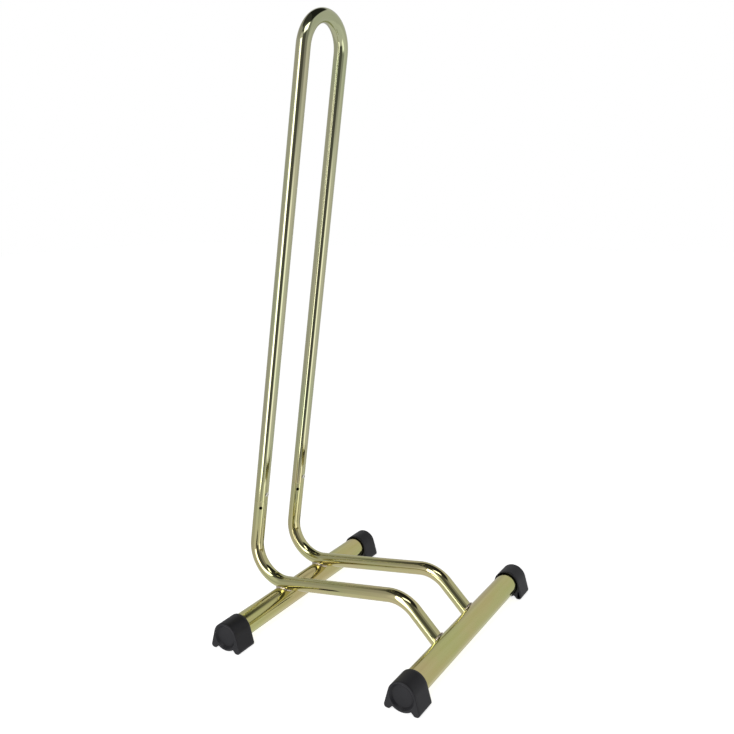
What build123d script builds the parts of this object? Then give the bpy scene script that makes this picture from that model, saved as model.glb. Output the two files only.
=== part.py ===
"""Floor stand that holds one bicycle wheel upright.

A narrow hairpin loop of round tube leans slightly forward.  Its two legs bend into base runs
that sit in seats on a rear cross tube and end on a front cross tube, and the wheel rolls in
between them.  Each cross tube is carried by two push-on plastic feet.

Frame: millimetres, +X to the front (where the wheel rolls in), +Y to the left, +Z up.
Origin: the middle of the stand's outline, on the floor.
"""
from build123d import *
from math import acos, atan2, cos, degrees, radians, sin, sqrt, tan
import os

os.makedirs("parts", exist_ok=True)

# ---- tubes ---------------------------------------------------------------------------------
loop_r = 9.5                 # outer radius of the loop and of the base tubes
loop_wall = 1.2
cross_r = 16.0               # outer radius of the two cross tubes
cross_wall = 1.5
bend_r = 47.5                # centre-line radius of every base bend

# ---- side view -----------------------------------------------------------------------------
wheel_base = 264.0           # from one cross tube's axis to the other's
seat_depth = 4.5             # how far the rear bend drops into the rear cross tube
lean = radians(8.8)          # of the legs, forward from upright
rise = radians(8.2)          # of the base runs, upward to the front
drop = radians(45.0)         # of the front ends, downward to the front cross tube
run_length = 256.0           # base run, from corner to corner
drop_length = 70.0           # front end, from its corner to its cut face
leg_length = 747.0           # leg, from its corner up to where the arch starts

# ---- front view: half the distance between the left and right tube axes ----------------------
half_gap_top = 42.3
half_gap_bend = 44.75
half_gap_front = 45.5

# ---- joint in each leg ---------------------------------------------------------------------
seam_at = 129.0              # along the leg, above its corner
rivet_at = 139.0
vent_at = 119.5
vent_angle = radians(38.0)   # of the vent hole, from sideways towards the front
vent_r = 2.2
sleeve_length = 60.0
sleeve_wall = 1.5
sleeve_play = 0.1            # between the sleeve and the tube around it

# ---- rivets --------------------------------------------------------------------------------
rivet_shank_r = 2.4
rivet_hole_play = 0.05
rivet_head_r = 3.6
rivet_head_h = 1.3
rivet_tail_r = 3.2
rivet_tail_h = 1.8
mandrel_r = 1.1
mandrel_sink = 0.4           # the snapped end's depth below the dome's top

# ---- feet ----------------------------------------------------------------------------------
axle_z = 19.6                # height of the cross tubes' axes over the floor
crown_r = 18.7               # round top of a foot
foot_length = 30.7
foot_half_span = 174.7       # from the middle plane to a foot's outer face
flank_flare = radians(15.6)
toe_inner_x = 16.6
notch_x = 12.3
lug_r = 19.3
toe_outer_fillet = 4.0
toe_inner_fillet = 2.0
foot_edge_fillet = 1.0
dish_rim_r = 16.4            # dish in the outer face, with a sloping wall
dish_floor_r = 13.4
dish_depth = 3.0
end_wall = 3.5               # between the dish and the bottom of the tube's socket
socket_play = 0.1
mouth_lead = 4.0             # depth of the tapered lead-in at the socket's mouth
mouth_r = 17.5
pocket_wall = 2.1            # left around the pocket that cores out each toe
pocket_depth = 20.0
pocket_fillet = 1.0

weld_size = 2.2

# ---- worked out from the dimensions above ----------------------------------------------------
flank_top = (crown_r * cos(flank_flare), crown_r * sin(flank_flare))
toe_x = flank_top[0] + (flank_top[1] + axle_z) * tan(flank_flare)
toe_reach = toe_x - toe_outer_fillet * (tan(flank_flare) + 1 / cos(flank_flare) - 1)
back_reach = bend_r + loop_r
rear_x = (back_reach - wheel_base - toe_reach) / 2
front_x = rear_x + wheel_base
cross_half_length = foot_half_span - dish_depth - end_wall

# The rear bend is centred above the rear cross tube; its corner is where the lines of the
# leg and the base run would meet.
bend_centre = Vector(rear_x, 0, axle_z + cross_r - seat_depth + loop_r + bend_r)
to_corner = Vector(sin(rise) - cos(lean), 0, sin(lean) - cos(rise))
bend_corner = bend_centre + to_corner * (bend_r / (1 - sin(lean + rise)))
front_corner = bend_corner + Vector(cos(rise), 0, sin(rise)) * run_length
front_end = front_corner + Vector(cos(drop), 0, -sin(drop)) * drop_length

# The loop lies in a plane that leans with the legs: local x is +Y, local y is up the legs.
loop_plane = Plane(bend_corner, x_dir=(0, 1, 0), z_dir=(cos(lean), 0, -sin(lean)))
leg_slope = (half_gap_bend - half_gap_top) / leg_length
leg_tilt = degrees(leg_slope)
arch_r = half_gap_top / cos(leg_slope)
arch_centre_v = leg_length - arch_r * sin(leg_slope)

sleeve_outer_r = loop_r - loop_wall - sleeve_play
rivet_tail_top = sqrt((sleeve_outer_r - sleeve_wall) ** 2 - rivet_tail_r**2)
rivet_tail_end = rivet_tail_top - rivet_tail_h
mouth_taper = degrees((mouth_r - cross_r) / mouth_lead)
dish_slope = degrees(atan2(dish_rim_r - dish_floor_r, dish_depth))
notch_v = -sqrt(axle_z**2 - notch_x**2)
toe_inner_slope = atan2(notch_v + axle_z, toe_inner_x - notch_x)

LEFT, RIGHT = 1, -1
SIDES = {"left": LEFT, "right": RIGHT}


def leg_point(side, along):
    """Point on a leg's axis, the given distance along the leg above its corner."""
    return loop_plane.from_local_coords((side * (half_gap_bend - along * leg_slope), along, 0))


def leg_direction(side):
    """Unit vector up a leg's axis."""
    return (leg_point(side, leg_length) - leg_point(side, 0)).normalized()


def rivet_direction():
    """Unit vector out of the front of a leg, square to it."""
    return Vector(cos(lean), 0, -sin(lean))


def vent_direction():
    """Unit vector out of a leg's vent hole; both holes face forward and to the right."""
    return rivet_direction() * sin(vent_angle) + Vector(0, RIGHT, 0) * cos(vent_angle)


def sideways(point, offset):
    """The point moved along Y."""
    return point + Vector(0, offset, 0)


def base_route(side, extra=0.0):
    """Corners of a lower tube's centre line: seam, rear bend, front bend, cut front end."""
    beyond = Vector(cos(drop), 0, -sin(drop)) * extra
    return [
        leg_point(side, seam_at),
        sideways(bend_corner, side * half_gap_bend),
        sideways(front_corner, side * half_gap_front),
        sideways(front_end + beyond, side * half_gap_front),
    ]


def base_bar(side, radius, extra=0.0):
    """A solid round bar along a lower tube's centre line."""
    with BuildPart() as bar:
        with BuildLine() as route:
            FilletPolyline(*base_route(side, extra), radius=bend_r)
        with BuildSketch(Plane(route.line @ 0, z_dir=route.line % 0)):
            Circle(radius)
        sweep()
    return bar.part


def cross_bar(x, radius):
    """A solid round bar on a cross tube's axis, as long as the stand is wide."""
    with BuildPart() as bar:
        with BuildSketch(Plane.XZ):
            with Locations((x, axle_z)):
                Circle(radius)
        extrude(amount=foot_half_span, both=True)
    return bar.part


def drill_bit(point, direction, radius):
    """A solid pin from a leg's axis out through one wall, to cut a hole with."""
    with BuildPart() as bit:
        with BuildSketch(Plane(point, z_dir=direction)):
            Circle(radius)
        extrude(amount=2 * loop_r)
    return bit.part


def rivet_bit(side):
    """The drill bit for a leg's rivet hole."""
    return drill_bit(leg_point(side, rivet_at), rivet_direction(), rivet_shank_r + rivet_hole_play)


def vent_bit(side):
    """The drill bit for a leg's vent hole."""
    return drill_bit(leg_point(side, vent_at), vent_direction(), vent_r)


# ---- upper loop: arch and both legs down to the seams ----------------------------------------
loop_rivet_bits = [rivet_bit(LEFT), rivet_bit(RIGHT)]
with BuildPart() as upper_loop:
    with BuildLine(loop_plane):
        arch = CenterArc((0, arch_centre_v), arch_r, leg_tilt, 180 - 2 * leg_tilt)
        Line((half_gap_bend - seam_at * leg_slope, seam_at), arch @ 0)
        Line(arch @ 1, (seam_at * leg_slope - half_gap_bend, seam_at))
    with BuildSketch(Plane(leg_point(LEFT, seam_at), z_dir=leg_direction(LEFT))):
        Circle(loop_r)
        Circle(loop_r - loop_wall, mode=Mode.SUBTRACT)
    sweep()
    add(loop_rivet_bits, mode=Mode.SUBTRACT)
upper_loop.part.label = "upper_loop"
export_step(upper_loop.part, "parts/upper_loop.step")


def make_lower_tube(side_name, side):
    """Bent tube from the leg's seam to the front cross tube, coped to fit against it."""
    name = f"lower_tube_{side_name}"
    cuts = [cross_bar(front_x, cross_r), vent_bit(side)]
    with BuildPart() as lower_tube:
        with BuildLine() as route:
            FilletPolyline(*base_route(side), radius=bend_r)
        with BuildSketch(Plane(route.line @ 0, z_dir=route.line % 0)):
            Circle(loop_r)
            Circle(loop_r - loop_wall, mode=Mode.SUBTRACT)
        sweep()
        add(cuts, mode=Mode.SUBTRACT)
    lower_tube.part.label = name
    export_step(lower_tube.part, f"parts/{name}.step")


def make_joint_sleeve(side_name, side):
    """Inner sleeve that lines up the loop's leg and the lower tube across their seam."""
    name = f"joint_sleeve_{side_name}"
    holes = [rivet_bit(side), vent_bit(side)]
    with BuildPart() as joint_sleeve:
        with BuildSketch(Plane(leg_point(side, seam_at), z_dir=leg_direction(side))):
            Circle(sleeve_outer_r)
            Circle(sleeve_outer_r - sleeve_wall, mode=Mode.SUBTRACT)
        extrude(amount=sleeve_length / 2, both=True)
        add(holes, mode=Mode.SUBTRACT)
    joint_sleeve.part.label = name
    export_step(joint_sleeve.part, f"parts/{name}.step")


def make_rivet(side_name, side):
    """Blind rivet: domed head on the leg, shank through both walls, bulged tail inside."""
    name = f"blind_rivet_{side_name}"
    out = rivet_direction()
    start = leg_point(side, rivet_at)
    bore_r = mandrel_r + rivet_hole_play
    dome_mid = (rivet_head_r * 0.7, loop_r + rivet_head_h * 0.72)
    with BuildPart() as rivet:
        with BuildSketch(Plane(start, x_dir=(0, 1, 0), z_dir=Vector(0, 1, 0).cross(out))):
            with BuildLine():
                dome = ThreePointArc((rivet_head_r, loop_r), dome_mid, (bore_r, loop_r + rivet_head_h))
                Polyline(
                    dome @ 1,
                    (bore_r, rivet_tail_end),
                    (rivet_shank_r, rivet_tail_end),
                    (rivet_tail_r, (rivet_tail_end + rivet_tail_top) / 2),
                    (rivet_shank_r, rivet_tail_top),
                    (rivet_shank_r, loop_r),
                    dome @ 0,
                )
            make_face()
        revolve(axis=Axis(start, out))
    rivet.part.label = name
    export_step(rivet.part, f"parts/{name}.step")


def make_rivet_mandrel(side_name, side):
    """Snapped mandrel held in the rivet, its wide head against the tail."""
    name = f"rivet_mandrel_{side_name}"
    out = rivet_direction()
    under_tail = Plane(leg_point(side, rivet_at) + out * rivet_tail_end, z_dir=out)
    with BuildPart() as mandrel:
        with BuildSketch(under_tail):
            Circle(mandrel_r)
        extrude(amount=loop_r + rivet_head_h - mandrel_sink - rivet_tail_end)
        with BuildSketch(under_tail):
            Circle(rivet_shank_r)
        extrude(amount=-mandrel_r, taper=20)
    mandrel.part.label = name
    export_step(mandrel.part, f"parts/{name}.step")


def make_cross_tube(name, x, seated):
    """Straight tube on the feet; the rear one has seats that the base bends drop into."""
    seats = [base_bar(side, loop_r) for side in SIDES.values()]
    with BuildPart() as cross_tube:
        with BuildSketch(Plane.XZ):
            with Locations((x, axle_z)):
                Circle(cross_r)
                Circle(cross_r - cross_wall, mode=Mode.SUBTRACT)
        extrude(amount=cross_half_length, both=True)
        if seated:
            add(seats, mode=Mode.SUBTRACT)
    cross_tube.part.label = name
    export_step(cross_tube.part, f"parts/{name}.step")


def make_weld(end_name, x, side_name, side):
    """Weld bead: the ring within weld_size of both tubes' surfaces, outside both."""
    name = f"{end_name}_weld_{side_name}"
    near_tube = base_bar(side, loop_r + weld_size, extra=weld_size / 2)
    near_cross = cross_bar(x, cross_r + weld_size)
    tubes = [cross_bar(x, cross_r), base_bar(side, loop_r)]
    with BuildPart() as weld:
        add(near_tube)
        add(near_cross, mode=Mode.INTERSECT)
        add(tubes, mode=Mode.SUBTRACT)
    weld.part.label = name
    export_step(weld.part, f"parts/{name}.step")


def pocket_corners():
    """Corners of a toe's pocket in the foot's profile: beside the socket, outer and inner bottom."""
    flank_distance = crown_r - pocket_wall
    socket_distance = cross_r + socket_play + pocket_wall
    top_angle = flank_flare - acos(flank_distance / socket_distance)
    bottom = pocket_wall - axle_z
    return [
        (socket_distance * cos(top_angle), socket_distance * sin(top_angle)),
        (flank_distance / cos(flank_flare) - bottom * tan(flank_flare), bottom),
        (toe_inner_x + pocket_wall * tan(toe_inner_slope / 2), bottom),
    ]


def make_foot(end_name, x, side_name, side):
    """Moulded foot: round crown, flared flanks, two toes and a round lug between notches."""
    name = f"{end_name}_foot_{side_name}"
    outer_face = Plane((x, side * foot_half_span, axle_z), x_dir=(-side, 0, 0), z_dir=(0, side, 0))
    with BuildPart() as foot:
        with BuildSketch(outer_face):
            with BuildLine():
                crown = CenterArc((0, 0), crown_r, degrees(flank_flare), 180 - 2 * degrees(flank_flare))
                lug = ThreePointArc((-notch_x, notch_v), (0, -lug_r), (notch_x, notch_v))
                Polyline(crown @ 1, (-toe_x, -axle_z), (-toe_inner_x, -axle_z), lug @ 0)
                Polyline(lug @ 1, (toe_inner_x, -axle_z), (toe_x, -axle_z), crown @ 0)
            make_face()
            fillet(vertices().group_by(Axis.Y)[0].sort_by(Axis.X)[1:3], toe_inner_fillet)
            fillet([vertices().sort_by(Axis.X)[0], vertices().sort_by(Axis.X)[-1]], toe_outer_fillet)
        extrude(amount=-foot_length)
        end_edges = faces().sort_by(Axis.Y)[-1 if side == LEFT else 0].edges()
        fillet(end_edges, foot_edge_fillet)
        with BuildSketch(outer_face.offset(-dish_depth)):
            Circle(dish_floor_r)
        extrude(amount=dish_depth, taper=-dish_slope, mode=Mode.SUBTRACT)
        with BuildSketch(outer_face.offset(-dish_depth - end_wall)):
            Circle(cross_r + socket_play)
        extrude(amount=-foot_length, mode=Mode.SUBTRACT)
        with BuildSketch(outer_face.offset(-foot_length)):
            Circle(mouth_r)
        extrude(amount=mouth_lead, taper=mouth_taper, mode=Mode.SUBTRACT)
        with BuildSketch(outer_face.offset(-foot_length)):
            with BuildLine() as pocket:
                Polyline(*pocket_corners(), close=True)
            make_face()
            fillet(vertices(), pocket_fillet)
            mirror(about=Plane.YZ)
        extrude(amount=pocket_depth, mode=Mode.SUBTRACT)
    foot.part.label = name
    export_step(foot.part, f"parts/{name}.step")


make_cross_tube("rear_cross_tube", rear_x, seated=True)
make_cross_tube("front_cross_tube", front_x, seated=False)
for side_name, side in SIDES.items():
    make_lower_tube(side_name, side)
    make_joint_sleeve(side_name, side)
    make_rivet(side_name, side)
    make_rivet_mandrel(side_name, side)
    for end_name, x in (("rear", rear_x), ("front", front_x)):
        make_weld(end_name, x, side_name, side)
        make_foot(end_name, x, side_name, side)

arch_top = loop_plane.from_local_coords((0, arch_centre_v + arch_r, 0)).Z + loop_r * cos(lean)
print(f"length {2 * (front_x + toe_reach):.1f}, width {2 * foot_half_span:.1f}, height {arch_top:.1f} mm")
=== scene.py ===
"""Looks of the bicycle wheel floor stand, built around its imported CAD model.

Metres, +X to the front, +Y to the left, +Z up, as in the CAD.  The bent tubes, the feet and the
weld beads are rebuilt here as finer meshes in the places of their CAD nodes.  The straight
cross tubes, rivets and sleeves stay as CAD nodes and get finished materials.
"""

from collections import namedtuple
from math import acos, asin, atan2, ceil, cos, pi, radians, sin, sqrt, tan

import bmesh
import bpy
from mathutils import Matrix, Vector


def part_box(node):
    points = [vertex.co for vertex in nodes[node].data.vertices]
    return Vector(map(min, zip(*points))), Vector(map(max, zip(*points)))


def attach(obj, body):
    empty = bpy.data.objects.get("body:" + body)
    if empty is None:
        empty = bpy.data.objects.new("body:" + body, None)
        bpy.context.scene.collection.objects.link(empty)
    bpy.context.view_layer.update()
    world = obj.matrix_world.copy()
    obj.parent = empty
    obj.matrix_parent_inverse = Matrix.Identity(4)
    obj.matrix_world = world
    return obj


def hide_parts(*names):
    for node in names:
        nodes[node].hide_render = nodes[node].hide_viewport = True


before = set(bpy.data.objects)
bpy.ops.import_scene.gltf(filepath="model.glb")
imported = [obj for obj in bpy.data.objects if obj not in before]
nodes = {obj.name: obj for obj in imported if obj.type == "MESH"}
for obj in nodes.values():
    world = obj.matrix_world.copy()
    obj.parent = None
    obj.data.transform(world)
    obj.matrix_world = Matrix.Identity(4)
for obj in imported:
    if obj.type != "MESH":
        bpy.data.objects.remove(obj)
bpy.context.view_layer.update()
scene = bpy.context.scene

MM = 0.001
SIDES = {"left": 1, "right": -1}
ENDS = ("rear", "front")
SHARP_ANGLE = radians(32)       # faces that meet at more than this keep a sharp edge

# ---- design sizes shared with the CAD --------------------------------------------------------
LOOP_R = 9.5 * MM
LOOP_WALL = 1.2 * MM
BEND_R = 47.5 * MM
SEAT_DEPTH = 4.5 * MM
LEAN = radians(8.8)
RISE = radians(8.2)
DROP = radians(45.0)
RUN_LENGTH = 256.0 * MM
DROP_LENGTH = 70.0 * MM
LEG_LENGTH = 747.0 * MM
HALF_GAP_TOP = 42.3 * MM
HALF_GAP_BEND = 44.75 * MM
HALF_GAP_FRONT = 45.5 * MM
SEAM_AT = 129.0 * MM
VENT_AT = 119.5 * MM
VENT_ANGLE = radians(38.0)
VENT_R = 2.2 * MM

FOOT_LENGTH = 30.7 * MM
CROWN_R = 18.7 * MM
FLANK_FLARE = radians(15.6)
TOE_INNER_X = 16.6 * MM
NOTCH_X = 12.3 * MM
LUG_R = 19.3 * MM
TOE_OUTER_FILLET = 4.0 * MM
TOE_INNER_FILLET = 2.0 * MM
FOOT_EDGE = 1.0 * MM
DISH_RIM_R = 16.4 * MM
DISH_FLOOR_R = 13.4 * MM
DISH_DEPTH = 3.0 * MM
END_WALL = 3.5 * MM
SOCKET_PLAY = 0.1 * MM
MOUTH_LEAD = 4.0 * MM
MOUTH_R = 17.5 * MM
POCKET_WALL = 2.1 * MM
POCKET_DEPTH = 20.0 * MM
POCKET_FILLET = 1.0 * MM

# ---- places read from the frame ----------------------------------------------------------------
rear_low, rear_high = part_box("rear_cross_tube")
front_low, front_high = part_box("front_cross_tube")
CROSS_R = (front_high.z - front_low.z) / 2
AXLE_Z = (front_high.z + front_low.z) / 2
REAR_X = (rear_high.x + rear_low.x) / 2
FRONT_X = (front_high.x + front_low.x) / 2
CROSS_X = {"rear": REAR_X, "front": FRONT_X}
FOOT_FACE_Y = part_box("rear_foot_left")[1].y

# ---- how finely the meshes are cut -------------------------------------------------------------
AROUND = 64                     # faces around a bent tube
FACE_PITCH = 2 * pi * LOOP_R / AROUND
ARC_STEP = radians(2.5)
STRAIGHT_STEP = 12 * MM
LONGEST_CHORD = 5 * MM          # between stations in a bend; the last straight's are further apart
TUBE_EDGE = 0.15 * MM           # broken edge at a tube's cut ends and holes
EDGE_MIDDLE = 0.3               # how far a rounded edge's middle lies from its sides, in its radii
VENT_PATCH = 5                  # tube faces on each side of a vent hole that make room for it
VENT_RINGS = (0.7, 0.4, 0.15, 0.0)  # from near the patch's outline (1) to the hole (0)

# A place on a tube's centre line and the way that the line runs there.
Station = namedtuple("Station", "point direction")


# ================================ mesh helpers ==================================================
class Shell:
    """Collects the points and faces of one mesh, with an optional straightened-tube coordinate."""

    def __init__(self):
        self.points = []
        self.faces = []
        self.straight = []

    def add(self, point, straight=(0.0, 0.0, 0.0)):
        """Adds a point and returns its index."""
        self.points.append(tuple(point))
        self.straight.append(tuple(straight))
        return len(self.points) - 1

    def add_ring(self, ring, straights=None):
        """Adds a list of points and returns their indices."""
        straights = straights or [(0.0, 0.0, 0.0)] * len(ring)
        return [self.add(p, s) for p, s in zip(ring, straights)]

    def bridge(self, ring_a, ring_b, columns=None):
        """Quads between two rings with the same number of points, all round or in some columns."""
        count = len(ring_a)
        for j in columns or range(count):
            k = (j + 1) % count
            self.faces.append((ring_a[j], ring_a[k], ring_b[k], ring_b[j]))

    def fan(self, centre, ring):
        """Triangles from a centre point to a ring."""
        for j, corner in enumerate(ring):
            self.faces.append((centre, corner, ring[(j + 1) % len(ring)]))

    def make(self, name, sharp_angle=SHARP_ANGLE):
        """The finished mesh: outward normals, smooth faces, sharp where it turns a corner."""
        mesh = bpy.data.meshes.new(name)
        mesh.from_pydata(self.points, [], self.faces)
        attribute = mesh.attributes.new("straight", "FLOAT_VECTOR", "POINT")
        attribute.data.foreach_set("vector", [v for s in self.straight for v in s])
        mesh.validate()
        outward(mesh)
        mesh.shade_smooth()
        mesh.set_sharp_from_angle(angle=sharp_angle)
        return mesh


def outward(mesh):
    """Turns every face of a closed mesh to face out."""
    work = bmesh.new()
    work.from_mesh(mesh)
    bmesh.ops.recalc_face_normals(work, faces=work.faces)
    work.to_mesh(mesh)
    work.free()


def place(name, mesh, material, node):
    """Puts a mesh in the scene as a piece of the stand that replaces a CAD node."""
    piece = bpy.data.objects.new(name, mesh)
    scene.collection.objects.link(piece)
    mesh.materials.append(material)
    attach(piece, "root")
    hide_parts(node)


# ================================ routes of the bent tubes ======================================
TO_CORNER = Vector((sin(RISE) - cos(LEAN), 0, sin(LEAN) - cos(RISE)))
BEND_CENTRE = Vector((REAR_X, 0, AXLE_Z + CROSS_R - SEAT_DEPTH + LOOP_R + BEND_R))
BEND_CORNER = BEND_CENTRE + TO_CORNER * (BEND_R / (1 - sin(LEAN + RISE)))
FRONT_CORNER = BEND_CORNER + Vector((cos(RISE), 0, sin(RISE))) * RUN_LENGTH
FRONT_END = FRONT_CORNER + Vector((cos(DROP), 0, -sin(DROP))) * DROP_LENGTH
UP_LEG = Vector((sin(LEAN), 0, cos(LEAN)))
OUT_FRONT = Vector((cos(LEAN), 0, -sin(LEAN)))
LEG_SLOPE = (HALF_GAP_BEND - HALF_GAP_TOP) / LEG_LENGTH
ARCH_R = HALF_GAP_TOP / cos(LEG_SLOPE)


def sideways(point, offset):
    """The point moved along Y."""
    return point + Vector((0, offset, 0))


def leg_point(side, along):
    """Point on a leg's axis, the given distance along the leg above its corner."""
    return sideways(BEND_CORNER + UP_LEG * along, side * (HALF_GAP_BEND - along * LEG_SLOPE))


def fill_straights(stations):
    """The same stations, with more in between wherever two stand far apart."""
    filled = [stations[0]]
    for before, after in zip(stations, stations[1:]):
        steps = max(1, ceil((after.point - before.point).length / STRAIGHT_STEP))
        for k in range(1, steps):
            filled.append(Station(before.point.lerp(after.point, k / steps), after.direction))
        filled.append(after)
    return filled


def arc_stations(centre, start, axis, turn, direction):
    """Stations round an arc, from start, turning about the axis."""
    steps = ceil(turn / ARC_STEP)
    spins = [Matrix.Rotation(turn * k / steps, 3, axis) for k in range(steps + 1)]
    return [Station(centre + spin @ (start - centre), spin @ direction) for spin in spins]


def rounded_route(corners):
    """Stations along straight runs that are joined by tangent arcs."""
    first = (corners[1] - corners[0]).normalized()
    last = (corners[-1] - corners[-2]).normalized()
    stations = [Station(corners[0], first)]
    for before, corner, after in zip(corners, corners[1:], corners[2:]):
        go_in = (corner - before).normalized()
        go_out = (after - corner).normalized()
        turn = go_in.angle(go_out)
        axis = go_in.cross(go_out).normalized()
        start = corner - go_in * BEND_R * tan(turn / 2)
        stations += arc_stations(start + axis.cross(go_in) * BEND_R, start, axis, turn, go_in)
    return stations + [Station(corners[-1], last)]


def lower_route(side):
    """Stations of a lower tube, from the seam in the leg to the cut front end."""
    corners = [
        leg_point(side, SEAM_AT),
        sideways(BEND_CORNER, side * HALF_GAP_BEND),
        sideways(FRONT_CORNER, side * HALF_GAP_FRONT),
        sideways(FRONT_END, side * HALF_GAP_FRONT),
    ]
    return rounded_route(corners)


def loop_route():
    """Stations of the upper loop, from the left seam over the arch to the right seam."""
    centre = BEND_CORNER + UP_LEG * (LEG_LENGTH - ARCH_R * sin(LEG_SLOPE))
    left_up = (leg_point(1, LEG_LENGTH) - leg_point(1, 0)).normalized()
    right_down = (leg_point(-1, 0) - leg_point(-1, LEG_LENGTH)).normalized()
    start = centre + Vector((0, 1, 0)) * ARCH_R * cos(LEG_SLOPE) + UP_LEG * ARCH_R * sin(LEG_SLOPE)
    turn_axis = (start - centre).cross(left_up).normalized()
    arc = arc_stations(centre, start, turn_axis, pi - 2 * LEG_SLOPE, left_up)
    ends = (Station(leg_point(1, SEAM_AT), left_up), Station(leg_point(-1, SEAM_AT), right_down))
    return [ends[0], *arc, ends[1]]


# ================================ bent tubes ====================================================
class TubeSpace:
    """Turns (distance along, angle around, radius) into a place on a bent tube."""

    def __init__(self, stations, reference, zero_direction=None):
        self.stations = stations
        self.reference = reference
        self.along = [0.0]
        for before, after in zip(stations, stations[1:]):
            self.along.append(self.along[-1] + (after.point - before.point).length)
        self.zero = 0.0
        if zero_direction is not None:
            side, up = self.axes(stations[0])
            self.zero = atan2(zero_direction.dot(up), zero_direction.dot(side))

    def axes(self, station):
        """Two unit vectors across the tube at a station; the first is near the reference."""
        side = self.reference - station.direction * self.reference.dot(station.direction)
        side.normalize()
        return side, station.direction.cross(side)

    def normal(self, index, angle):
        """The unit vector out of the tube at a station and an angle."""
        side, up = self.axes(self.stations[index])
        return side * cos(angle + self.zero) + up * sin(angle + self.zero)

    def at(self, index, angle, radius, ahead=0.0):
        """A point at a station, moved ahead along the station's direction."""
        station = self.stations[index]
        return station.point + station.direction * ahead + self.normal(index, angle) * radius

    def straight(self, index, angle, radius, ahead=0.0):
        """The same point on the tube as if it had never been bent."""
        turned = angle + self.zero
        return (radius * cos(turned), radius * sin(turned), self.along[index] + ahead)


def around_angles():
    """The angle of each column of faces around a bent tube."""
    return [2 * pi * j / AROUND for j in range(AROUND)]


def distance_to_cross_tube(start, direction):
    """How far a line runs before it meets the front cross tube, or None."""
    offset = Vector((start.x - FRONT_X, start.z - AXLE_Z))
    heading = Vector((direction.x, direction.z))
    ahead = -offset.dot(heading)
    inside = ahead * ahead - offset.length_squared + CROSS_R * CROSS_R
    return ahead - sqrt(inside) if inside > 0 else None


def cope_lengths(space, index, length, radius):
    """For each angle round the last straight, its length up to the cut or the cross tube."""
    lengths = []
    for angle in around_angles():
        hit = distance_to_cross_tube(space.at(index, angle, radius), space.stations[index].direction)
        lengths.append(length if hit is None else min(length, hit))
    return lengths


def last_straight(stations):
    """Index of the station where the last straight starts."""
    index = len(stations) - 1
    while (stations[index].point - stations[index - 1].point).length > LONGEST_CHORD:
        index -= 1
    return index


def tube_ring(shell, space, index, radius, aheads):
    """Adds a ring about a station, with its own distance ahead for each angle."""
    around = list(zip(around_angles(), aheads))
    points = [space.at(index, angle, radius, ahead) for angle, ahead in around]
    straights = [space.straight(index, angle, radius, ahead) for angle, ahead in around]
    return shell.add_ring(points, straights)


def wall_rings(shell, space, radius, edge, coped):
    """Rings of one wall of a tube: a broken edge, one for each station and a broken edge."""
    bend_end = last_straight(space.stations)
    run = space.along[-1] - space.along[bend_end]
    trims = cope_lengths(space, bend_end, run, radius) if coped else [run] * AROUND
    rings = [
        tube_ring(shell, space, 0, radius - edge, [0.0] * AROUND),
        tube_ring(shell, space, 0, radius, [TUBE_EDGE] * AROUND),
    ]
    for index in range(1, len(space.stations)):
        share = max(0.0, space.along[index] - space.along[bend_end]) / run
        aheads = [share * (trim - TUBE_EDGE) for trim in trims]
        rings.append(tube_ring(shell, space, min(index, bend_end), radius, aheads))
    rings.append(tube_ring(shell, space, bend_end, radius - edge, trims))
    return rings


def bridge_wall(shell, rings, vent_ring=None):
    """Faces along one wall of a tube, but for the patch around its vent hole."""
    patch = range(vent_ring, vent_ring + 2 * VENT_PATCH) if vent_ring else ()
    for row, (ring_a, ring_b) in enumerate(zip(rings, rings[1:])):
        columns = range(VENT_PATCH, AROUND - VENT_PATCH) if row in patch else None
        shell.bridge(ring_a, ring_b, columns)


def tube_mesh(name, stations, reference, coped=False, vent=None):
    """A hollow bent tube with broken edges.

    If it is coped, its last straight is cut to fit the front cross tube.  vent is the
    (distance along, direction) of a round hole in its first straight.
    """
    if vent:
        stations = with_vent_rows(stations, vent[0])
    space = TubeSpace(fill_straights(stations), reference, vent[1] if vent else None)
    shell = Shell()
    inner_r = LOOP_R - LOOP_WALL
    outer = wall_rings(shell, space, LOOP_R, TUBE_EDGE, coped)
    inner = wall_rings(shell, space, inner_r, -TUBE_EDGE, coped)
    if vent:
        vent_ring = vent_ring_index(space, vent[0])
        bridge_wall(shell, outer, vent_ring)
        outer_hole = vent_mouth(shell, space, outer, vent_ring, LOOP_R, vent[0], rounded=True)
        bridge_wall(shell, inner, vent_ring)
        inner_hole = vent_mouth(shell, space, inner, vent_ring, inner_r, vent[0], rounded=False)
        shell.bridge(outer_hole, inner_hole)
    else:
        bridge_wall(shell, outer)
        bridge_wall(shell, inner)
    shell.bridge(outer[0], inner[0])
    shell.bridge(outer[-1], inner[-1])
    return shell.make(name)


# ---- the vent hole -----------------------------------------------------------------------------
def with_vent_rows(stations, distance):
    """Adds the stations that the mesh around a vent hole needs, on the first straight run."""
    start = stations[0]
    rows = [distance + FACE_PITCH * k for k in range(-VENT_PATCH, VENT_PATCH + 1)]
    added = [Station(start.point + start.direction * row, start.direction) for row in rows]
    return [start, *added, *stations[1:]]


def vent_ring_index(space, distance):
    """Index of the first ring of the patch around a vent hole, among its wall's rings."""
    patch_start = distance - VENT_PATCH * FACE_PITCH
    station = min(range(len(space.along)), key=lambda i: abs(space.along[i] - patch_start))
    return station + 1          # because a wall has one ring more, the broken edge, at its start


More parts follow.
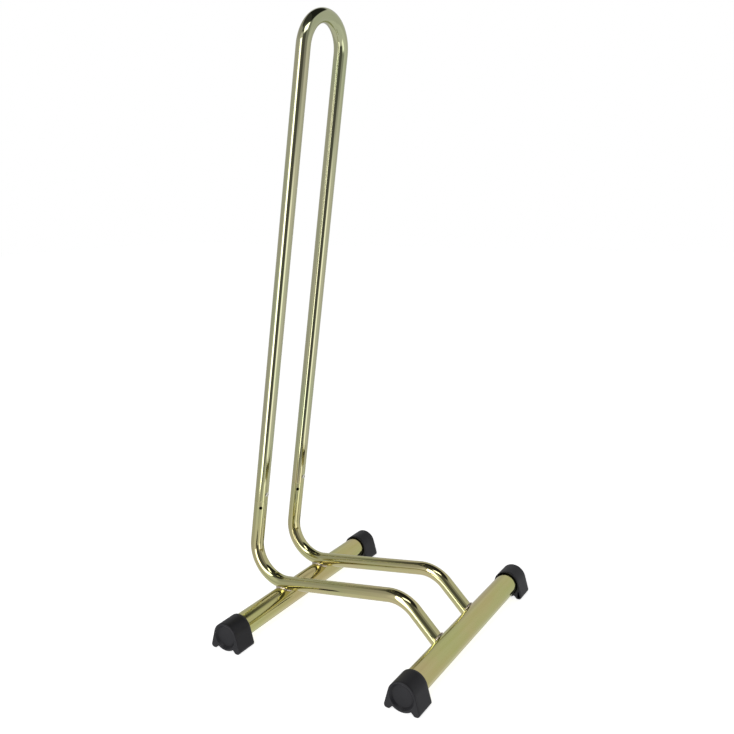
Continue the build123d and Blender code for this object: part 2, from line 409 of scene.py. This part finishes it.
def vent_mouth(shell, space, rings, vent_ring, radius, distance, rounded):
    """Faces from the square patch in a wall to the round hole; returns the hole's ring."""
    reach = VENT_PATCH
    loop = [(reach, c) for c in range(-reach, reach)] + [(-r, reach) for r in range(-reach, reach)]
    loop += [(-reach, -c) for c in range(-reach, reach)] + [(r, -reach) for r in range(-reach, reach)]
    square = [rings[vent_ring + reach + row][column % AROUND] for row, column in loop]

    def ring_at(share, hole_r, sink=0.0):
        """A ring part of the way from the hole (0) to the patch's outline (1)."""
        ring = []
        for row, column in loop:
            turn = atan2(row, column)
            across = asin(hole_r * cos(turn) / radius)
            angle = across + (column * 2 * pi / AROUND - across) * share
            along = hole_r * sin(turn) + (row * FACE_PITCH - hole_r * sin(turn)) * share
            ahead = distance + along
            point = space.at(0, angle, radius - sink, ahead)
            ring.append(shell.add(point, space.straight(0, angle, radius - sink, ahead)))
        return ring

    lip = VENT_R + TUBE_EDGE if rounded else VENT_R
    steps = [ring_at(share, lip) for share in VENT_RINGS]
    if rounded:
        steps.append(ring_at(0.0, VENT_R + EDGE_MIDDLE * TUBE_EDGE, EDGE_MIDDLE * TUBE_EDGE))
        steps.append(ring_at(0.0, VENT_R, TUBE_EDGE))
    for ring_a, ring_b in zip([square, *steps], steps):
        shell.bridge(ring_a, ring_b)
    return steps[-1]


# ================================ weld beads ====================================================
BEAD_R = 2.1 * MM
BEAD_LIFT = 0.35                # how far the bead's middle stands off the corner, in bead radii
BEAD_LEAN = 0.35                # how far its crown leans along it, in bead radii
BEAD_PITCH = 1.5 * MM           # from one ripple to the next
BEAD_RIPPLE = 0.16              # ripple height, in bead radii
BEAD_TAPER = 2.0                # length over which an open bead's ends taper, in bead radii
BEAD_TIP = 0.02                 # area left at an open bead's tips, as a share of its full area
BEAD_SIDES = 14
BEAD_SHARP_ANGLE = radians(50)
SEAT_REACH = (1.2, 0.99)        # half-length and half-width searched for a seat's edge, in LOOP_R
BISECTIONS = 40


def seat_edge(turn):
    """Where a bend sinks into its cross tube: x and y from the seat's middle, and the height."""
    low, high = 0.0, LOOP_R
    for _ in range(BISECTIONS):
        reach = (low + high) / 2
        x = reach * SEAT_REACH[0] * cos(turn)
        y = reach * SEAT_REACH[1] * sin(turn)
        tube_z = BEND_CENTRE.z - sqrt((BEND_R + sqrt(LOOP_R**2 - y * y)) ** 2 - x * x)
        cross_z = AXLE_Z + sqrt(CROSS_R**2 - x * x)
        low, high = (reach, high) if cross_z > tube_z else (low, reach)
    return x, y, cross_z


def rear_weld_path(side, count=150):
    """The closed line where a rear bend sinks into its cross tube: (point, outward) pairs."""
    middle_y = side * HALF_GAP_BEND
    path = []
    for k in range(count):
        x, y, z = seat_edge(2 * pi * k / count)
        point = Vector((REAR_X + x, middle_y + y, z))
        spoke = Vector((point.x - BEND_CENTRE.x, 0, point.z - BEND_CENTRE.z)).normalized()
        tube_middle = sideways(BEND_CENTRE + spoke * BEND_R, middle_y)
        from_tube = (point - tube_middle).normalized()
        from_cross = Vector((x, 0, z - AXLE_Z)).normalized()
        path.append((point, (from_tube + from_cross).normalized()))
    return path


def front_weld_path(side, count=240):
    """The open line where a front end's cut meets its cross tube: (point, outward) pairs."""
    space = TubeSpace(lower_route(side), Vector((0, 1, 0)))
    index = len(space.stations) - 2
    direction = space.stations[index].direction
    run = space.along[-1] - space.along[index]
    path = []
    for k in range(count):
        angle = pi + 2 * pi * k / count
        start = space.at(index, angle, LOOP_R)
        hit = distance_to_cross_tube(start, direction)
        if hit is not None and hit < run:
            point = start + direction * hit
            from_cross = Vector((point.x - FRONT_X, 0, point.z - AXLE_Z)).normalized()
            path.append((point, (space.normal(index, angle) + from_cross).normalized()))
    return path


def bead_mesh(name, path, closed):
    """A rippled weld bead along a path of (point, outward) pairs."""
    shell = Shell()
    count = len(path)
    travelled = 0.0
    length = sum((path[k][0] - path[k - 1][0]).length for k in range(0 if closed else 1, count))
    ripples = max(1, round(length / BEAD_PITCH))
    rings = []
    for k, (point, normal) in enumerate(path):
        before = path[k - 1][0] if closed or k else point
        after = path[(k + 1) % count][0] if closed or k < count - 1 else point
        direction = (after - before).normalized()
        if k:
            travelled += (point - path[k - 1][0]).length
        phase = travelled / length * ripples % 1.0
        radius = BEAD_R * (1 - BEAD_RIPPLE * phase**2)
        if not closed:
            to_end = min(travelled, length - travelled) / (BEAD_TAPER * BEAD_R)
            radius *= sqrt(max(BEAD_TIP, 1 - (1 - min(1.0, to_end)) ** 2))
        side = direction.cross(normal).normalized()
        middle = point + normal * BEAD_R * BEAD_LIFT
        lean = direction * BEAD_R * BEAD_LEAN
        ring = []
        for j in range(BEAD_SIDES):
            turn = 2 * pi * j / BEAD_SIDES
            crown = max(0.0, cos(turn))
            ring.append(middle + normal * radius * cos(turn) + side * radius * sin(turn) + lean * crown)
        rings.append(shell.add_ring(ring, [(0, 0, travelled)] * BEAD_SIDES))
    for ring_a, ring_b in zip(rings, rings[1:]):
        shell.bridge(ring_a, ring_b)
    if closed:
        shell.bridge(rings[-1], rings[0])
    else:
        for ring in (rings[0], rings[-1]):
            shell.faces.append(tuple(ring))
    return shell.make(name, BEAD_SHARP_ANGLE)


# ================================ feet ==========================================================
# Steps along each stretch of the foot's outline.
LUG_STEPS = 12
NOTCH_STEPS = 4
TOE_INNER_STEPS = 6
SOLE_STEPS = 3
TOE_OUTER_STEPS = 8
FLANK_STEPS = 8
CROWN_STEPS = 22

POCKET_CORNER_STEPS = 6
FOOT_EDGE_STEPS = 5
FOOT_BODY_STEPS = 8
DISH_FLOOR_RINGS = (0.45, 0.9)  # rings that divide the dish's floor, in floor radii
DISH_EDGE = 0.35 * MM           # rounding of the dish's rim and of its floor's corner
DISH_EDGE_MIDDLE = (0.25, 0.2)  # across and down to the middle of that rounding, in its radii
INNER_EDGE = 0.3 * MM           # broken edge around the foot's inner face
INNER_EDGE_MIDDLE = 0.1 * MM
MOUTH_EDGE = (0.3 * MM, 0.15 * MM)  # across and down the broken edge of the socket's mouth
CUTTER_PROUD = 2 * MM           # how far the pocket's cutter stands out of the foot


def rounded_corner(before, corner, after, radius, steps):
    """Points of the arc that rounds one corner of an outline."""
    go_in = (corner - before).normalized()
    go_out = (after - corner).normalized()
    turn = atan2(go_in.x * go_out.y - go_in.y * go_out.x, go_in.dot(go_out))
    tangent = radius * tan(abs(turn) / 2)
    start = corner - go_in * tangent
    inward = Vector((-go_in.y, go_in.x)) * (1 if turn > 0 else -1)
    centre = start + inward * radius
    spins = [Matrix.Rotation(turn * k / steps, 2) for k in range(steps + 1)]
    return [centre + spin @ (start - centre) for spin in spins]


def arc_points(radius, start, end, steps):
    """Points round an arc about the origin, with both ends."""
    return [Vector((radius * cos(a), radius * sin(a)))
            for a in (start + (end - start) * k / steps for k in range(steps + 1))]


def line_points(start, end, steps):
    """Points from start to end, both left out."""
    return [start.lerp(end, k / steps) for k in range(1, steps)]


def foot_outline():
    """The foot's profile about the cross tube's axis, anticlockwise with X to the right."""
    flank_top = Vector((CROWN_R * cos(FLANK_FLARE), CROWN_R * sin(FLANK_FLARE)))
    toe_x = flank_top.x + (flank_top.y + AXLE_Z) * tan(FLANK_FLARE)
    toe_outer = Vector((toe_x, -AXLE_Z))
    toe_inner = Vector((TOE_INNER_X, -AXLE_Z))
    notch = Vector((NOTCH_X, -sqrt(AXLE_Z**2 - NOTCH_X**2)))
    outer_arc = rounded_corner(toe_inner, toe_outer, flank_top, TOE_OUTER_FILLET, TOE_OUTER_STEPS)
    inner_arc = rounded_corner(notch, toe_inner, toe_outer, TOE_INNER_FILLET, TOE_INNER_STEPS)
    crown = arc_points(CROWN_R, FLANK_FLARE, pi / 2, CROWN_STEPS)
    right = [*lug_points(notch), notch, *line_points(notch, inner_arc[0], NOTCH_STEPS), *inner_arc]
    right += [*line_points(inner_arc[-1], outer_arc[0], SOLE_STEPS), *outer_arc]
    right += [*line_points(outer_arc[-1], crown[0], FLANK_STEPS), *crown]
    left = [Vector((-p.x, p.y)) for p in reversed(right[1:-1])]
    return right + left


def lug_points(notch):
    """Half of the round lug under the tube, from its lowest point towards the notch."""
    lowest = -pi / 2
    sweep = atan2(notch.y, notch.x) - lowest
    bulge = (notch.length - LUG_R) / sweep**2
    turns = [sweep * k / LUG_STEPS for k in range(LUG_STEPS)]
    return [Vector((cos(lowest + t), sin(lowest + t))) * (LUG_R + bulge * t**2) for t in turns]


def inset(outline, distance):
    """The outline moved inward by a distance, with mitred corners."""
    moved = []
    for k, point in enumerate(outline):
        go_in = (point - outline[k - 1]).normalized()
        go_out = (outline[(k + 1) % len(outline)] - point).normalized()
        inward = Vector((-go_in.y - go_out.y, go_in.x + go_out.x)).normalized()
        cosine = inward.dot(Vector((-go_in.y, go_in.x)))
        moved.append(point + inward * distance / cosine)
    return moved


def pocket_outline():
    """The rounded triangle that cores out a toe from its inner face."""
    flank_distance = CROWN_R - POCKET_WALL
    socket_distance = CROSS_R + SOCKET_PLAY + POCKET_WALL
    top_angle = FLANK_FLARE - acos(flank_distance / socket_distance)
    bottom = POCKET_WALL - AXLE_Z
    toe_slope = atan2(AXLE_Z - sqrt(AXLE_Z**2 - NOTCH_X**2), TOE_INNER_X - NOTCH_X)
    top = Vector((cos(top_angle), sin(top_angle))) * socket_distance
    outer = Vector((flank_distance / cos(FLANK_FLARE) - bottom * tan(FLANK_FLARE), bottom))
    inner = Vector((TOE_INNER_X + POCKET_WALL * tan(toe_slope / 2), bottom))
    corners = [top, inner, outer]
    points = []
    for k in range(3):
        before, after = corners[k - 1], corners[(k + 1) % 3]
        points += rounded_corner(before, corners[k], after, POCKET_FILLET, POCKET_CORNER_STEPS)
    return points


def foot_rings():
    """The foot's rings, from the dish's floor round the outside and into the socket.

    Each is (flat ring, depth behind the outer face).
    """
    outline = foot_outline()
    angles = [atan2(p.y, p.x) for p in outline]

    def circle(radius):
        return [Vector((radius * cos(a), radius * sin(a))) for a in angles]

    slope = atan2(DISH_DEPTH, DISH_RIM_R - DISH_FLOOR_R)
    down_slope = Vector((cos(slope), sin(slope))) * DISH_EDGE
    across, down = (share * DISH_EDGE for share in DISH_EDGE_MIDDLE)
    rings = [(circle(share * DISH_FLOOR_R), DISH_DEPTH) for share in DISH_FLOOR_RINGS]
    rings += [
        (circle(DISH_FLOOR_R - DISH_EDGE), DISH_DEPTH),
        (circle(DISH_FLOOR_R + across), DISH_DEPTH - down),
        (circle(DISH_FLOOR_R + down_slope.x), DISH_DEPTH - down_slope.y),
        (circle(DISH_RIM_R - down_slope.x), down_slope.y),
        (circle(DISH_RIM_R - across), down),
        (circle(DISH_RIM_R + DISH_EDGE), 0.0),
    ]
    for k in range(FOOT_EDGE_STEPS):
        turn = pi / 2 * k / FOOT_EDGE_STEPS
        rings.append((inset(outline, FOOT_EDGE * (1 - sin(turn))), FOOT_EDGE * (1 - cos(turn))))
    body = FOOT_LENGTH - INNER_EDGE - FOOT_EDGE
    rings += [(outline, FOOT_EDGE + body * k / FOOT_BODY_STEPS) for k in range(FOOT_BODY_STEPS + 1)]
    mouth_across, mouth_down = MOUTH_EDGE
    rings += [
        (inset(outline, INNER_EDGE_MIDDLE), FOOT_LENGTH - INNER_EDGE_MIDDLE),
        (inset(outline, INNER_EDGE), FOOT_LENGTH),
        (circle(MOUTH_R), FOOT_LENGTH),
        (circle(MOUTH_R - mouth_across), FOOT_LENGTH - mouth_down),
        (circle(CROSS_R + SOCKET_PLAY), FOOT_LENGTH - MOUTH_LEAD),
        (circle(CROSS_R + SOCKET_PLAY), DISH_DEPTH + END_WALL),
    ]
    return rings


def foot_mesh(name, end, side):
    """The moulded foot: dished outer face, round edges, socket for the tube and cored toes."""
    def spot(flat, depth):
        return (CROSS_X[end] + flat.x, side * (FOOT_FACE_Y - depth), AXLE_Z + flat.y)

    shell = Shell()
    rings = [shell.add_ring([spot(p, depth) for p in ring]) for ring, depth in foot_rings()]
    for ring_a, ring_b in zip(rings, rings[1:]):
        shell.bridge(ring_a, ring_b)
    shell.fan(shell.add(spot(Vector((0, 0)), DISH_DEPTH)), rings[0])
    shell.fan(shell.add(spot(Vector((0, 0)), DISH_DEPTH + END_WALL)), rings[-1])

    cutter = Shell()
    for mirror in (1, -1):
        flat = [Vector((mirror * p.x, p.y)) for p in pocket_outline()]
        deep = cutter.add_ring([spot(p, FOOT_LENGTH - POCKET_DEPTH) for p in flat])
        proud = cutter.add_ring([spot(p, FOOT_LENGTH + CUTTER_PROUD) for p in flat])
        cutter.bridge(deep, proud)
        cutter.faces += [tuple(deep), tuple(proud)]
    return cut(shell.make(name), cutter.make("pocket_cutter"))


def cut(mesh, cutter_mesh):
    """The mesh with the cutter's volume taken away."""
    body = bpy.data.objects.new("cut_body", mesh)
    tool = bpy.data.objects.new("cut_tool", cutter_mesh)
    for item in (body, tool):
        scene.collection.objects.link(item)
    boolean = body.modifiers.new("cut", "BOOLEAN")
    boolean.operation = "DIFFERENCE"
    boolean.solver = "EXACT"
    boolean.object = tool
    bpy.context.view_layer.update()
    evaluated = body.evaluated_get(bpy.context.evaluated_depsgraph_get())
    result = bpy.data.meshes.new_from_object(evaluated)
    name = mesh.name
    for item in (body, tool):
        bpy.data.objects.remove(item)
    for spent in (mesh, cutter_mesh):
        bpy.data.meshes.remove(spent)
    result.name = name
    result.shade_smooth()
    result.set_sharp_from_angle(angle=SHARP_ANGLE)
    return result


# ================================ materials =====================================================
DRIFT_STOPS = (0.36, 0.5, 0.64)  # where the drifting hue is greener, plain and pinker
THIN_PLATING = (0.12, 0.26)     # heights between which the legs' plating turns paler
PALE_STREAK = (0.86, 0.84, 0.60, 1.0)
SPECK_SCALE = 1400.0
LINE_DEPTH = 1.2e-6             # of the drawing lines' bump
WORN_PLASTIC = (0.04, 0.04, 0.043, 1.0)
# Painted shade: the dark colour that the plastic's corners and recesses are pulled towards.
PAINTED_SHADE_PLASTIC = (0.003, 0.003, 0.004, 1.0)
PAINTED_SHADE_REACH = 5 * MM            # how deep a corner has to be for its plastic to take painted shade

# Noise scales along the three axes, for grain that runs along Z, along Y or every way.
ALONG_Z = {
    "drift": (30.0, 30.0, 11.0),
    "streak": (260.0, 260.0, 14.0),
    "lines": (1100.0, 1100.0, 9.0),
    "ripple": (110.0, 110.0, 24.0),
}
ALONG_Y = {
    "drift": (25.0, 9.0, 25.0),
    "streak": (150.0, 7.0, 150.0),
    "lines": (900.0, 8.0, 900.0),
    "ripple": (90.0, 22.0, 90.0),
}
ALL_WAYS = {
    "drift": (60.0, 60.0, 60.0),
    "streak": (200.0, 200.0, 200.0),
    "lines": (700.0, 700.0, 700.0),
    "ripple": (300.0, 300.0, 300.0),
}


class Nodes:
    """Short names for building a node tree."""

    def __init__(self, tree):
        self.tree = tree
        tree.nodes.clear()

    def add(self, kind, inputs=None, **settings):
        node = self.tree.nodes.new("ShaderNode" + kind)
        for key, value in settings.items():
            setattr(node, key, value)
        for key, value in (inputs or {}).items():
            socket = node.inputs[key]
            if isinstance(value, bpy.types.NodeSocket):
                self.tree.links.new(value, socket)
            else:
                socket.default_value = value
        return node

    def math(self, operation, *values):
        node = self.add("Math", dict(enumerate(values)), operation=operation)
        return node.outputs[0]

    def scaled(self, vector, scale):
        node = self.add("VectorMath", {0: vector, 1: scale}, operation="MULTIPLY")
        return node.outputs[0]

    def noise(self, vector, scale, detail=2.0, roughness=0.5):
        values = {"Vector": vector, "Scale": scale, "Detail": detail, "Roughness": roughness}
        return self.add("TexNoise", values, noise_dimensions="3D").outputs[0]

    def ramp(self, value, *stops):
        """A colour ramp through (position, colour) stops."""
        node = self.add("ValToRGB", {0: value})
        elements = node.color_ramp.elements
        while len(elements) < len(stops):
            elements.new(0.5)
        for element, (position, colour) in zip(elements, stops):
            element.position = position
            element.color = (*colour, 1.0)
        return node.outputs[0]

    def mix(self, share, first, second):
        values = {0: share, 6: first, 7: second}
        return self.add("Mix", values, data_type="RGBA").outputs[2]

    def span(self, value, low, high, to_low, to_high):
        """The value's range stretched to another, and held inside it."""
        values = {0: value, 1: low, 2: high, 3: to_low, 4: to_high}
        return self.add("MapRange", values).outputs[0]


def new_material(name):
    """A new material and its empty node tree."""
    material = bpy.data.materials.new(name)
    material.use_nodes = True
    return material, Nodes(material.node_tree)


def finish_material(n, shader):
    """Ends a material's tree in its shader."""
    n.add("OutputMaterial", {"Surface": shader.outputs[0]})


def straight_space(n):
    """The coordinate that runs along a bent tube as if it were straight."""
    return n.add("Attribute", attribute_name="straight").outputs["Vector"]


def object_space(n):
    """The coordinate of the stand's own frame, in metres."""
    return n.add("TexCoord").outputs["Object"]


def plated_zinc(name, tints, coordinate, across, smoothness, wave, high_tints=None):
    """Yellow-passivated zinc: hue that drifts along the tube, drawing lines and a slight ripple.

    tints are its greener, plain and pinker colours; across is the scale that draws the lines
    out along the tube; smoothness is the (low, high) roughness; wave is the ripple's depth.
    high_tints, if given, take over up the legs.
    """
    material, n = new_material(name)
    space = coordinate(n)
    drift = n.noise(n.scaled(space, across["drift"]), 1.0, 3.0)
    colour = n.ramp(drift, *zip(DRIFT_STOPS, tints))
    if high_tints:
        height = n.add("SeparateXYZ", {0: object_space(n)}).outputs[2]
        high = n.ramp(drift, *zip(DRIFT_STOPS, high_tints))
        colour = n.mix(n.span(height, *THIN_PLATING, 0.0, 1.0), colour, high)
    streak = n.noise(n.scaled(space, across["streak"]), 1.0, 4.0, 0.6)
    colour = n.mix(n.span(streak, 0.3, 0.75, 0.0, 0.16), colour, PALE_STREAK)
    lines = n.noise(n.scaled(space, across["lines"]), 1.0, 3.0, 0.65)
    specks = n.noise(space, SPECK_SCALE, 2.0)
    dull = n.math("ADD", n.span(lines, 0.35, 0.7, 0.0, 1.0), n.span(specks, 0.66, 0.74, 0.0, 0.7))
    rough = n.span(dull, 0.0, 1.9, *smoothness)
    ripple = n.noise(n.scaled(space, across["ripple"]), 1.0, 1.0)
    bump = n.add("Bump", {"Height": ripple, "Distance": wave, "Strength": 1.0})
    fine = n.add("Bump", {
        "Height": lines, "Distance": LINE_DEPTH, "Strength": 1.0, "Normal": bump.outputs[0]})
    shader = n.add("BsdfPrincipled", {
        "Base Color": colour, "Metallic": 1.0, "Roughness": rough, "Normal": fine.outputs[0]})
    finish_material(n, shader)
    return material


def moulded_plastic():
    """Charcoal moulded plastic with a fine grain, paler on its edges, with painted shade that darkens
    its corners.
    """
    material, n = new_material("charcoal_plastic")
    space = object_space(n)
    cloud = n.noise(space, 45.0, 4.0, 0.6)
    colour = n.ramp(cloud, (0.3, (0.0095, 0.0095, 0.012)), (0.7, (0.015, 0.015, 0.018)))
    worn = n.add("NewGeometry").outputs["Pointiness"]
    colour = n.mix(n.span(worn, 0.52, 0.62, 0.0, 0.6), colour, WORN_PLASTIC)
    # Painted shade: ambient occlusion darkens the plastic's colour in its corners and recesses, such as
    # the dish and the pockets.
    occlusion = n.add("AmbientOcclusion", {"Distance": PAINTED_SHADE_REACH}, samples=6, only_local=True)
    unshaded_share = n.span(occlusion.outputs[1], 0.55, 0.96, 0.12, 1.0)
    colour = n.mix(unshaded_share, PAINTED_SHADE_PLASTIC, colour)
    grain = n.noise(space, 2600.0, 2.0, 0.6)
    scuff = n.noise(n.scaled(space, (60.0, 340.0, 60.0)), 1.0, 3.0, 0.7)
    rough = n.math("ADD", n.span(cloud, 0.3, 0.7, 0.38, 0.5), n.span(scuff, 0.6, 0.8, 0.0, 0.14))
    bump = n.add("Bump", {"Height": grain, "Distance": 3e-5, "Strength": 0.5})
    shader = n.add("BsdfPrincipled", {
        "Base Color": colour, "Roughness": rough, "Normal": bump.outputs[0],
        "Specular IOR Level": 0.32})
    finish_material(n, shader)
    return material


def plain_zinc():
    """Bright zinc plating on the sleeves, faintly spangled."""
    material, n = new_material("plain_zinc")
    space = object_space(n)
    spangle = n.noise(space, 500.0, 3.0, 0.7)
    colour = n.ramp(spangle, (0.35, (0.50, 0.51, 0.52)), (0.65, (0.63, 0.63, 0.62)))
    rough = n.span(spangle, 0.3, 0.7, 0.25, 0.42)
    bump = n.add("Bump", {"Height": spangle, "Distance": 1e-5, "Strength": 0.4})
    shader = n.add("BsdfPrincipled", {
        "Base Color": colour, "Metallic": 1.0, "Roughness": rough, "Normal": bump.outputs[0]})
    finish_material(n, shader)
    return material


LOOP_TINTS = ((0.50, 0.535, 0.32), (0.53, 0.53, 0.335), (0.545, 0.525, 0.335))
BASE_TINTS = ((0.58, 0.58, 0.28), (0.615, 0.57, 0.285), (0.645, 0.555, 0.30))
CROSS_TINTS = ((0.58, 0.59, 0.22), (0.62, 0.57, 0.23), (0.65, 0.55, 0.245))
WELD_TINTS = ((0.56, 0.51, 0.41), (0.64, 0.57, 0.47), (0.68, 0.57, 0.50))
RIVET_TINTS = ((0.78, 0.78, 0.66), (0.82, 0.80, 0.70), (0.84, 0.80, 0.72))

STREAKS = ((0.04, 0.10), 5e-6)  # roughness and ripple of the bent tubes
tube_zinc = plated_zinc("tube_zinc", BASE_TINTS, straight_space, ALONG_Z, *STREAKS, LOOP_TINTS)
cross_zinc = plated_zinc("cross_zinc", CROSS_TINTS, object_space, ALONG_Y, (0.09, 0.18), 6e-6)
weld_zinc = plated_zinc("weld_zinc", WELD_TINTS, object_space, ALL_WAYS, (0.26, 0.42), 3e-5)
rivet_zinc = plated_zinc("rivet_zinc", RIVET_TINTS, object_space, ALL_WAYS, (0.12, 0.22), 5e-6)
sleeve_zinc = plain_zinc()
foot_plastic = moulded_plastic()


# ================================ the pieces ====================================================
loop_mesh = tube_mesh("loop_tube", loop_route(), OUT_FRONT)
place("loop_tube", loop_mesh, tube_zinc, "upper_loop")

vent_direction = OUT_FRONT * sin(VENT_ANGLE) + Vector((0, -1, 0)) * cos(VENT_ANGLE)
vent = (SEAM_AT - VENT_AT, vent_direction)
for side_name, side in SIDES.items():
    tube = tube_mesh(f"base_tube_{side_name}", lower_route(side), Vector((0, 1, 0)), True, vent)
    place(tube.name, tube, tube_zinc, f"lower_tube_{side_name}")
    beads = {"rear": (rear_weld_path(side), True), "front": (front_weld_path(side), False)}
    for end in ENDS:
        bead = bead_mesh(f"{end}_bead_{side_name}", *beads[end])
        place(bead.name, bead, weld_zinc, f"{end}_weld_{side_name}")
        foot = foot_mesh(f"{end}_cap_foot_{side_name}", end, side)
        place(foot.name, foot, foot_plastic, f"{end}_foot_{side_name}")

# The finish of each CAD node that stays, by how its name starts.
CAD_FINISHES = {
    "rear_cross_tube": cross_zinc,
    "front_cross_tube": cross_zinc,
    "joint_sleeve": sleeve_zinc,
    "blind_rivet": rivet_zinc,
    "rivet_mandrel": rivet_zinc,
}
for start, finish in CAD_FINISHES.items():
    for node_name, node in nodes.items():
        if node_name.startswith(start):
            node.data.materials.clear()
            node.data.materials.append(finish)

# ================================ studio ========================================================
# Parts of the studio as seen from the stand, later ones over earlier ones: a radiance, a span of
# azimuth from straight ahead of the camera's side (-Y) towards +X, a span of elevation, and the
# half-width of the soft edges, in degrees.
Zone = namedtuple("Zone", "level azimuth elevation soft")
ALL_ROUND = (-180, 180)

FLOOR_HALF = 8.0                # half the floor's width
ROOM_LEVEL = 0.61
STUDIO = {
    "left_wall": Zone(0.52, (-160, -28), (-30, 28), 8),
    "upper_left": Zone(0.41, (-128, -25), (24, 56), 6),
    "right_wall": Zone(0.74, (84, 132), (-34, 6), 5),
    "table": Zone(0.70, ALL_ROUND, (-100, -33), 5),
    "upper_right": Zone(0.31, (56, 94), (-7, 50), 5),
    "ceiling": Zone(0.05, ALL_ROUND, (49, 100), 4),
    "dark_ceiling": Zone(0.02, (75, 245), (45, 100), 4),
    "camera_side": Zone(0.11, (12, 59), (-29, 60), 3),
    "upper_front": Zone(0.12, (-24, 20), (37, 62), 5),
    "low_card": Zone(1.6, (61, 86), (-36, -12), 4),
    "softbox_glow": Zone(0.70, (-28, 13), (-40, 34), 6),
}

# Softboxes: their middles, what they face, widths, heights and radiances.
Softbox = namedtuple("Softbox", "middle target width height level")
SOFTBOXES = {
    "side_softbox": Softbox((-0.112, -1.10, 0.445), (-0.10, 0.0, 0.445), 0.376, 1.51, 3.1),
    "top_softbox": Softbox((0.40, -0.53, 1.38), (-0.05, 0.0, 0.60), 0.62, 0.32, 3.0),
}


def angle_mask(n, angle, low, high, soft):
    """1 between two angles in degrees, 0 outside, with soft edges; it wraps past 180."""
    middle, half = (low + high) / 2, (high - low) / 2
    off = n.math("SUBTRACT", angle, middle)
    off = n.add("Math", {0: off, 1: -180.0, 2: 180.0}, operation="WRAP").outputs[0]
    off = n.math("ABSOLUTE", off)
    values = {0: off, 1: half - soft, 2: half + soft, 3: 1.0, 4: 0.0}
    return n.add("MapRange", values, interpolation_type="SMOOTHSTEP").outputs[0]


def zone_mask(n, zone, azimuth, elevation):
    """1 inside a zone, 0 outside, with soft edges."""
    mask = angle_mask(n, elevation, *zone.elevation, zone.soft)
    if zone.azimuth == ALL_ROUND:
        return mask
    return n.math("MULTIPLY", angle_mask(n, azimuth, *zone.azimuth, zone.soft), mask)


def make_world():
    """A soft studio as light that depends only on direction; the backdrop itself is white."""
    world = bpy.data.worlds.new("studio")
    world.use_nodes = True
    scene.world = world
    n = Nodes(world.node_tree)
    direction = n.add("TexCoord").outputs["Generated"]
    x, y, z = n.add("SeparateXYZ", {0: direction}).outputs
    azimuth = n.math("DEGREES", n.math("ARCTAN2", x, n.math("MULTIPLY", y, -1.0)))
    elevation = n.math("DEGREES", n.math("ARCSINE", z))
    level = ROOM_LEVEL
    for zone in STUDIO.values():
        mask = zone_mask(n, zone, azimuth, elevation)
        mixed = n.add("Mix", {0: mask, 2: level, 3: zone.level}, data_type="FLOAT")
        level = mixed.outputs[0]
    studio = n.add("Background", {"Color": (1.0, 1.0, 1.0, 1.0), "Strength": level})
    backdrop = n.add("Background", {"Color": (1.0, 1.0, 1.0, 1.0), "Strength": 1.0})
    seen = n.add("LightPath").outputs["Is Camera Ray"]
    mixed = n.add("MixShader", {0: seen, 1: studio.outputs[0], 2: backdrop.outputs[0]})
    n.add("OutputWorld", {"Surface": mixed.outputs[0]})


def make_floor():
    """A plain white floor, which the tubes' reflections leave out."""
    shell = Shell()
    signs = ((-1, -1), (1, -1), (1, 1), (-1, 1))
    corners = [(x * FLOOR_HALF, y * FLOOR_HALF, 0) for x, y in signs]
    shell.faces.append(tuple(shell.add_ring(corners)))
    mesh = shell.make("floor")
    floor = bpy.data.objects.new("floor", mesh)
    scene.collection.objects.link(floor)
    material, n = new_material("white_floor")
    grain = n.noise(object_space(n), 30.0, 3.0)
    colour = n.ramp(grain, (0.3, (0.84, 0.84, 0.84)), (0.7, (0.88, 0.88, 0.88)))
    shader = n.add("BsdfPrincipled", {
        "Base Color": colour, "Roughness": 0.9, "Emission Color": (1.0, 1.0, 1.0, 1.0),
        "Emission Strength": 0.8, "Specular IOR Level": 0.0})
    finish_material(n, shader)
    mesh.materials.append(material)
    floor.visible_glossy = False
    floor.visible_shadow = False


def make_softbox(name, box):
    """A soft lamp that shows in reflections but not to the camera."""
    light = bpy.data.lights.new(name, "AREA")
    light.shape = "RECTANGLE"
    light.size = box.width
    light.size_y = box.height
    light.energy = box.level * pi * box.width * box.height
    lamp = bpy.data.objects.new(name, light)
    scene.collection.objects.link(lamp)
    lamp.location = box.middle
    aim = Vector(box.target) - Vector(box.middle)
    lamp.rotation_euler = aim.to_track_quat("-Z", "Y").to_euler()
    lamp.visible_camera = False


def make_camera():
    """The camera at the stand's front right, looking a little down on it."""
    data = bpy.data.cameras.new("camera")
    data.sensor_width = 36.0
    data.lens = 39.73
    data.shift_x = -0.01526
    data.shift_y = -0.02682
    camera = bpy.data.objects.new("camera", data)
    scene.collection.objects.link(camera)
    camera.location = (0.5609, -0.9066, 0.5798)
    camera.rotation_euler = (radians(79.69), radians(0.737), radians(30.69))
    scene.camera = camera


make_world()
make_floor()
for softbox_name, softbox in SOFTBOXES.items():
    make_softbox(softbox_name, softbox)
make_camera()
scene.view_settings.view_transform = "Standard"
